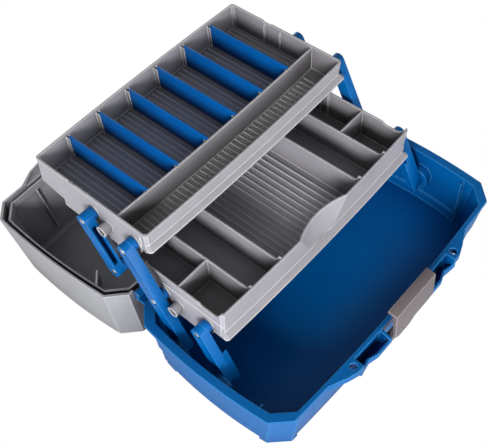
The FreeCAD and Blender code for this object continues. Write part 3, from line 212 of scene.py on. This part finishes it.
# a strong blue that stays deep in the shade, darkened further in its hollows by painted shade,
# with painted highlight lines along its rims
base_plastic = moulded_plastic("blue_moulded_polypropylene", "#0069B4", "#45A8F2", "#003E7C",
                               0.38, 0.55, 0.035, 1.5, 60)
dress("base_shell", base_plastic)

# ---- Hinge pins, latch pin and handle pins
# Drawn steel wire, cut to length and pushed through the moulded knuckles.
# The cut ends and the faint lengthwise drawing marks are all that shows of it.
WIRE_COLOUR = "#B4B6B8"
WIRE_MARKS_ALONG, WIRE_MARKS_ACROSS = 60, 5000
WIRE_ROUGHNESS = (0.25, 0.5)
WIRE_MARK_DEPTH = 0.02 * MM
wire, tree = blank_material("drawn_steel_wire")
place = add_node(tree, "ShaderNodeTexCoord").outputs["Object"]
stretch = add_node(tree, "ShaderNodeMapping", {
    "Scale": (WIRE_MARKS_ALONG, WIRE_MARKS_ACROSS, WIRE_MARKS_ACROSS)}, {"Vector": place})
marks = add_node(tree, "ShaderNodeTexNoise", {"Scale": 1.0, "Detail": 2.0},
                 {"Vector": stretch.outputs[0]})
dull = add_node(tree, "ShaderNodeMapRange",
                {"To Min": WIRE_ROUGHNESS[0], "To Max": WIRE_ROUGHNESS[1]},
                {"Value": marks.outputs[0]})
grooves = add_node(tree, "ShaderNodeBump", {"Strength": 0.4, "Distance": WIRE_MARK_DEPTH},
                   {"Height": marks.outputs[0]})
shader = add_node(tree, "ShaderNodeBsdfPrincipled",
                  {"Base Color": linear(WIRE_COLOUR), "Metallic": 1.0},
                  {"Roughness": dull.outputs[0], "Normal": grooves.outputs[0]})
add_node(tree, "ShaderNodeOutputMaterial", None, {"Surface": shader.outputs[0]})
for node in ("hinge_pins", "latch_pin", "handle_pins"):
    dress(node, wire)


# ---- Latch
# One stiff moulded plate with a hook along its top and a barrel along its foot.
# It is acetal in a grey brown, and turns on the steel pin between the base's cheeks.
WELD_DISTANCE = 0.01 * MM
FLAT_ANGLE = math.radians(1.5)
SHARP_ANGLE = math.radians(30)
SMOOTH_ANGLE = math.radians(40)


def rounded_copy(node, name, body, material, width, segments=2):
    """Stand a copy of a CAD piece in for it, its edges rounded off by width, in mm."""
    mesh = nodes[node].data.copy()
    mesh.materials.clear()
    mesh.materials.append(material)
    piece = bpy.data.objects.new(name, mesh)
    scene.collection.objects.link(piece)
    bpy.ops.object.select_all(action="DESELECT")
    piece.select_set(True)
    bpy.context.view_layer.objects.active = piece
    bpy.ops.object.mode_set(mode="EDIT")
    bpy.ops.mesh.select_all(action="SELECT")
    bpy.ops.mesh.remove_doubles(threshold=WELD_DISTANCE)
    bpy.ops.mesh.dissolve_limited(angle_limit=FLAT_ANGLE)
    bpy.ops.object.mode_set(mode="OBJECT")
    edge = piece.modifiers.new("moulded_edge", "BEVEL")
    edge.limit_method = "ANGLE"
    edge.angle_limit = SHARP_ANGLE
    edge.width = width * MM
    edge.segments = segments
    bpy.ops.object.modifier_apply(modifier="moulded_edge")
    bpy.ops.object.shade_smooth_by_angle(angle=SMOOTH_ANGLE)
    piece.select_set(False)
    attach(piece, body)
    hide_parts(node)


# a warm grey, smooth enough to catch a broad pale sheen on its face, with a painted highlight
# along its edges and painted shade in its hollows
latch_plastic = moulded_plastic("grey_brown_moulded_acetal", "#7E7476", "#CFC7C9", "#4C4646",
                                0.36, 0.5, 0.02, 1.2, 20)
rounded_copy("latch", "latch_plate", "latch", latch_plastic, 0.5)

# ---- Arms and their pins
# Stiff channel-section arms, moulded in the same blue as the base, with a round hub at each pin.
# Moulded snap pins hold them to bosses in the base, and plated rivets to the trays.
# a painted highlight along the edges of the arms and snap pins, and painted shade in their
# hollows
arm_plastic = moulded_plastic("blue_moulded_nylon", "#006AB8", "#40AAF4", "#005292",
                              0.34, 0.5, 0.02, 0.6, 20)
for side in ("left", "right"):
    for arm, body in (("long_arm", "long_arms"), ("front_arm", "front_arms"),
                      ("rear_arm", "rear_arms")):
        rounded_copy("%s_%s" % (arm, side), "%s_moulding_%s" % (arm, side), body,
                     arm_plastic, 0.45)
rounded_copy("base_pivot_pins", "base_snap_pins", "base", arm_plastic, 0.3)
# the rivets are bright, and their domed heads flash against the blue
RIVET_COLOUR = "#E4E6EA"
RIVET_RUB_MM = 0.7
RIVET_ROUGHNESS = (0.12, 0.3)
rivet, tree = blank_material("nickel_plated_rivet")
place = add_node(tree, "ShaderNodeTexCoord").outputs["Object"]
rubbed = add_node(tree, "ShaderNodeTexNoise",
                  {"Scale": 1 / (RIVET_RUB_MM * MM), "Detail": 2.0}, {"Vector": place})
dull = add_node(tree, "ShaderNodeMapRange",
                {"To Min": RIVET_ROUGHNESS[0], "To Max": RIVET_ROUGHNESS[1]},
                {"Value": rubbed.outputs[0]})
shader = add_node(tree, "ShaderNodeBsdfPrincipled",
                  {"Base Color": linear(RIVET_COLOUR), "Metallic": 1.0},
                  {"Roughness": dull.outputs[0]})
add_node(tree, "ShaderNodeOutputMaterial", None, {"Surface": shader.outputs[0]})
for node, body in (("lower_tray_pins", "lower_tray"), ("upper_tray_pins", "upper_tray")):
    rounded_copy(node, node + "_rivets", body, rivet, 0.3)

# ---- Trays
# Thin-walled trays moulded in grey polypropylene, stepped so that one nests in the other.
# Their walls are drafted, and the open rims, drawn with a white painted highlight, are the
# palest lines of the whole box; painted shade darkens their hollows.
tray_plastic = moulded_plastic("grey_moulded_polypropylene", "#B6B4BB", "#FFFFFF", "#5E5A58",
                               0.42, 0.5, 0.03, 1.4, 45)
dress("lower_tray", tray_plastic)
dress("upper_tray", tray_plastic)

# The trough of the upper tray has fine flutes between its ribs, moulded with the floor.
# These sizes are in mm.
FLUTE_WIDE = 0.5
FLUTE_HIGH = 0.4
FLUTE_PITCH = 1.7
FLUTE_TOP_SHARE, FLUTE_END_SHARE = 0.4, 0.99
TROUGH_RIB_PITCH = 6.8
TROUGH_RIBS = 18
TROUGH_FLOOR = 161.5
TROUGH_FRONT = 99.0
TROUGH_BACK = 130.0
flutes = [TROUGH_RIB_PITCH * (rib + 0.5) + FLUTE_PITCH * step
          for rib in range(-TROUGH_RIBS, TROUGH_RIBS) for step in (-1, 0, 1)]
bpy.ops.object.select_all(action="DESELECT")
bpy.ops.mesh.primitive_cube_add(size=MM, location=(0, (TROUGH_FRONT + TROUGH_BACK) / 2 * MM,
                                                   TROUGH_FLOOR * MM))
flute = bpy.context.object
bpy.ops.object.mode_set(mode="EDIT")
bpy.ops.transform.resize(value=(FLUTE_WIDE, TROUGH_BACK - TROUGH_FRONT, FLUTE_HIGH * 2),
                         center_override=flute.location)
bpy.ops.mesh.select_all(action="DESELECT")
bpy.ops.object.mode_set(mode="OBJECT")
for face in flute.data.polygons:
    face.select = face.normal.z > 0
bpy.ops.object.mode_set(mode="EDIT")
bpy.ops.mesh.select_mode(type="FACE")
bpy.ops.transform.resize(value=(FLUTE_TOP_SHARE, FLUTE_END_SHARE, 1),
                         center_override=flute.location)
bpy.ops.object.mode_set(mode="OBJECT")
copies = [flute]
for x in flutes[1:]:
    copy = flute.copy()
    copy.data = flute.data.copy()
    copy.location.x = x * MM
    scene.collection.objects.link(copy)
    copies.append(copy)
flute.location.x = flutes[0] * MM
for copy in copies:
    copy.select_set(True)
bpy.context.view_layer.objects.active = flute
bpy.ops.object.join()
bpy.ops.object.transform_apply(location=True, rotation=True, scale=True)
flute.name = "trough_flutes"
flute.data.materials.append(tray_plastic)
flute.select_set(False)
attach(flute, "upper_tray")

# ---- Loose dividers
# Six flat blue plates that drop between the guides of the upper tray.
# They are cut thin, and the light catches only their top edges, drawn paler by a painted
# highlight along every edge, with painted shade in their hollows.
DIVIDERS = 6
divider_plastic = moulded_plastic("deep_blue_moulded_polypropylene",
                                  "#0062B4", "#2E9BF0", "#004A88", 0.4, 0.5, 0.02, 0.6, 30)
for i in range(DIVIDERS):
    name = "divider_%d" % (i + 1)
    rounded_copy(name, name + "_plate", name, divider_plastic, 0.35)

# ---- Lid
# The deep upper half, moulded in a cooler grey, with a double ring round its edge.
# It lies open on its roof behind the trays, and its inside falls into their shade, deepened to
# near black by painted shade in its hollows, with a painted highlight along its edges.
lid_plastic = moulded_plastic("pale_grey_moulded_polypropylene", "#ABACB1", "#F0EFF6", "#1E1A18",
                              0.4, 0.6, 0.04, 1.5, 80)
dress("lid_shell", lid_plastic)

# ---- Carry handle
# A moulded grip that folds flat into the recess of the roof.
# It is of the latch's grey brown, with well rounded edges where fingers go.
# a painted highlight along the grip's edges and painted shade in its hollows
handle_plastic = moulded_plastic("grey_brown_moulded_grip", "#7F7776", "#ABA4A4", "#4A4543",
                                 0.45, 0.6, 0.04, 0.8, 20)
rounded_copy("carry_handle", "handle_grip", "handle", handle_plastic, 1.2, 3)
